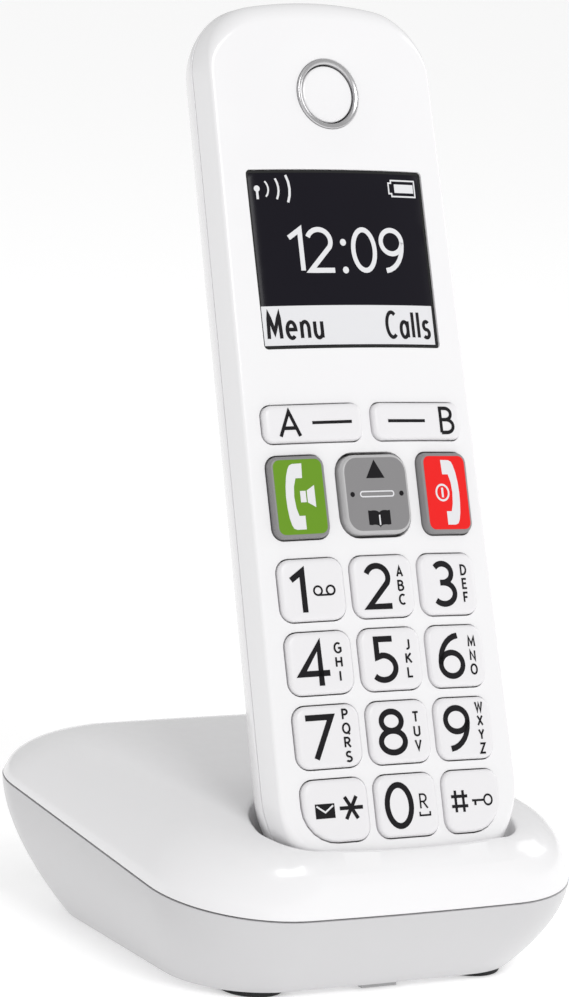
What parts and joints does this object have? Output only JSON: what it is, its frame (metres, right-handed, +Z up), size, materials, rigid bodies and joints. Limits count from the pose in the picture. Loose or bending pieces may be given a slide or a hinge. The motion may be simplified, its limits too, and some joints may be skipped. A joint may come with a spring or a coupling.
{
  "type": "cordless phone with charging base",
  "caption": "Large-key cordless telephone handset leaning in the pocket of a low, rounded desk charging base.",
  "frame": {"origin": "on the table under the middle of the base", "axes": "+Z up, +X to the right of a person facing the keypad, -Y towards that person"},
  "size_m": [0.0926, 0.0984, 0.1845],
  "materials": {
    "white_gloss": "smooth glossy white moulding",
    "white_base": "white moulding, slightly softer gloss",
    "key_plastic": "white key caps, satin gloss",
    "grey_key": "mid grey satin",
    "green_tile": "green gloss",
    "red_tile": "red gloss",
    "silicone": "matt silicone",
    "display_glass": "clear glossy pane",
    "display_dark": "dark liquid crystal panel",
    "black_plastic": "matt black",
    "ear_metal": "bright ring",
    "circuit_board": "green solder mask",
    "tinned_steel": "tinned plate",
    "battery_wrap": "plain wrapped cell",
    "screw_steel": "zinc plated",
    "black_rubber": "matt black rubber",
    "socket_plastic": "black moulded socket",
    "contact_metal": "gold plated spring contact",
    "page_grey": "light grey"
  },
  "bodies": {
    "base": {"base_top_cover": "white_gloss", "base_bottom_cover": "white_base", "rubber_feet": "black_rubber", "base_circuit_board": "circuit_board", "line_socket": "socket_plastic", "power_socket": "socket_plastic", "contact_carrier": "black_plastic", "page_switch": "black_plastic", "base_screws": "screw_steel"},
    "handset": {"front_shell": "white_gloss", "rear_shell": "white_gloss", "display_window": "display_glass", "display_frame": "black_plastic", "display_panel": "display_dark", "ear_ring": "ear_metal", "ear_cap": "white_gloss", "ear_speaker": "black_plastic", "ringer_speaker": "black_plastic", "microphone": "black_plastic", "keypad_mat": "silicone", "handset_circuit_board": "circuit_board", "radio_shield": "tinned_steel", "antenna_strip": "tinned_steel", "battery_left": "battery_wrap", "battery_right": "battery_wrap", "battery_tray": "black_plastic", "battery_contacts_lower": "tinned_steel", "battery_contacts_upper": "tinned_steel", "charge_pads": "tinned_steel", "handset_screws": "screw_steel"},
    "battery_cover": {"battery_cover": "white_gloss"},
    "page_key": {"page_key": "page_grey"},
    "charge_contact_left": {"charge_contact_left": "contact_metal"},
    "charge_contact_right": {"charge_contact_right": "contact_metal"},
    "navigation_pivot": {"navigation_pivot": "silicone"},
    "navigation_key": {"navigation_key": "grey_key"},
    "key_1": {"key_1": "key_plastic"},
    "key_2": {"key_2": "key_plastic"},
    "key_3": {"key_3": "key_plastic"},
    "key_4": {"key_4": "key_plastic"},
    "key_5": {"key_5": "key_plastic"},
    "key_6": {"key_6": "key_plastic"},
    "key_7": {"key_7": "key_plastic"},
    "key_8": {"key_8": "key_plastic"},
    "key_9": {"key_9": "key_plastic"},
    "key_star": {"key_star": "key_plastic"},
    "key_0": {"key_0": "key_plastic"},
    "key_hash": {"key_hash": "key_plastic"},
    "soft_key_left": {"soft_key_left": "key_plastic"},
    "soft_key_right": {"soft_key_right": "key_plastic"},
    "talk_key": {"talk_key": "grey_key", "talk_tile": "green_tile"},
    "end_key": {"end_key": "grey_key", "end_tile": "red_tile"}
  },
  "joints": [
    {"name": "handset_lift", "type": "slide", "parent": "base", "child": "handset", "axis": [0, 0.3649, 0.9311], "range_m": [0, 0.06]},
    {"name": "battery_cover_off", "type": "slide", "parent": "handset", "child": "battery_cover", "axis": [0, 0.9311, -0.3649], "range_m": [0, 0.015]},
    {"name": "page_key_press", "type": "slide", "parent": "base", "child": "page_key", "axis": [0, 0, 1], "range_m": [0, 0.0008], "stiffness_N_per_m": 400},
    {"name": "charge_contact_left_press", "type": "slide", "parent": "base", "child": "charge_contact_left", "axis": [0, 0.3649, 0.9311], "range_m": [-0.0008, 0], "stiffness_N_per_m": 300},
    {"name": "charge_contact_right_press", "type": "slide", "parent": "base", "child": "charge_contact_right", "axis": [0, 0.3649, 0.9311], "range_m": [-0.0008, 0], "stiffness_N_per_m": 300},
    {"name": "key_1_press", "type": "slide", "parent": "handset", "child": "key_1", "axis": [0, 0.9311, -0.3649], "range_m": [0, 0.0007], "stiffness_N_per_m": 400},
    {"name": "key_2_press", "type": "slide", "parent": "handset", "child": "key_2", "axis": [0, 0.9311, -0.3649], "range_m": [0, 0.0007], "stiffness_N_per_m": 400},
    {"name": "key_3_press", "type": "slide", "parent": "handset", "child": "key_3", "axis": [0, 0.9311, -0.3649], "range_m": [0, 0.0007], "stiffness_N_per_m": 400},
    {"name": "key_4_press", "type": "slide", "parent": "handset", "child": "key_4", "axis": [0, 0.9311, -0.3649], "range_m": [0, 0.0007], "stiffness_N_per_m": 400},
    {"name": "key_5_press", "type": "slide", "parent": "handset", "child": "key_5", "axis": [0, 0.9311, -0.3649], "range_m": [0, 0.0007], "stiffness_N_per_m": 400},
    {"name": "key_6_press", "type": "slide", "parent": "handset", "child": "key_6", "axis": [0, 0.9311, -0.3649], "range_m": [0, 0.0007], "stiffness_N_per_m": 400},
    {"name": "key_7_press", "type": "slide", "parent": "handset", "child": "key_7", "axis": [0, 0.9311, -0.3649], "range_m": [0, 0.0007], "stiffness_N_per_m": 400},
    {"name": "key_8_press", "type": "slide", "parent": "handset", "child": "key_8", "axis": [0, 0.9311, -0.3649], "range_m": [0, 0.0007], "stiffness_N_per_m": 400},
    {"name": "key_9_press", "type": "slide", "parent": "handset", "child": "key_9", "axis": [0, 0.9311, -0.3649], "range_m": [0, 0.0007], "stiffness_N_per_m": 400},
    {"name": "key_star_press", "type": "slide", "parent": "handset", "child": "key_star", "axis": [0, 0.9311, -0.3649], "range_m": [0, 0.0007], "stiffness_N_per_m": 400},
    {"name": "key_0_press", "type": "slide", "parent": "handset", "child": "key_0", "axis": [0, 0.9311, -0.3649], "range_m": [0, 0.0007], "stiffness_N_per_m": 400},
    {"name": "key_hash_press", "type": "slide", "parent": "handset", "child": "key_hash", "axis": [0, 0.9311, -0.3649], "range_m": [0, 0.0007], "stiffness_N_per_m": 400},
    {"name": "soft_key_left_press", "type": "slide", "parent": "handset", "child": "soft_key_left", "axis": [0, 0.9311, -0.3649], "range_m": [0, 0.0007], "stiffness_N_per_m": 400},
    {"name": "soft_key_right_press", "type": "slide", "parent": "handset", "child": "soft_key_right", "axis": [0, 0.9311, -0.3649], "range_m": [0, 0.0007], "stiffness_N_per_m": 400},
    {"name": "talk_key_press", "type": "slide", "parent": "handset", "child": "talk_key", "axis": [0, 0.9311, -0.3649], "range_m": [0, 0.0007], "stiffness_N_per_m": 400},
    {"name": "end_key_press", "type": "slide", "parent": "handset", "child": "end_key", "axis": [0, 0.9311, -0.3649], "range_m": [0, 0.0007], "stiffness_N_per_m": 400},
    {"name": "navigation_side_tilt", "type": "hinge", "parent": "handset", "child": "navigation_pivot", "pos_m": [0, -0.0179, 0.09306], "axis": [0, 0.3649, 0.9311], "range_deg": [-2.5, 2.5], "stiffness_Nm_per_rad": 0.05},
    {"name": "navigation_up_down_tilt", "type": "hinge", "parent": "navigation_pivot", "child": "navigation_key", "pos_m": [0, -0.0179, 0.09306], "axis": [1, 0, 0], "range_deg": [-2.5, 2.5], "stiffness_Nm_per_rad": 0.05}
  ]
}
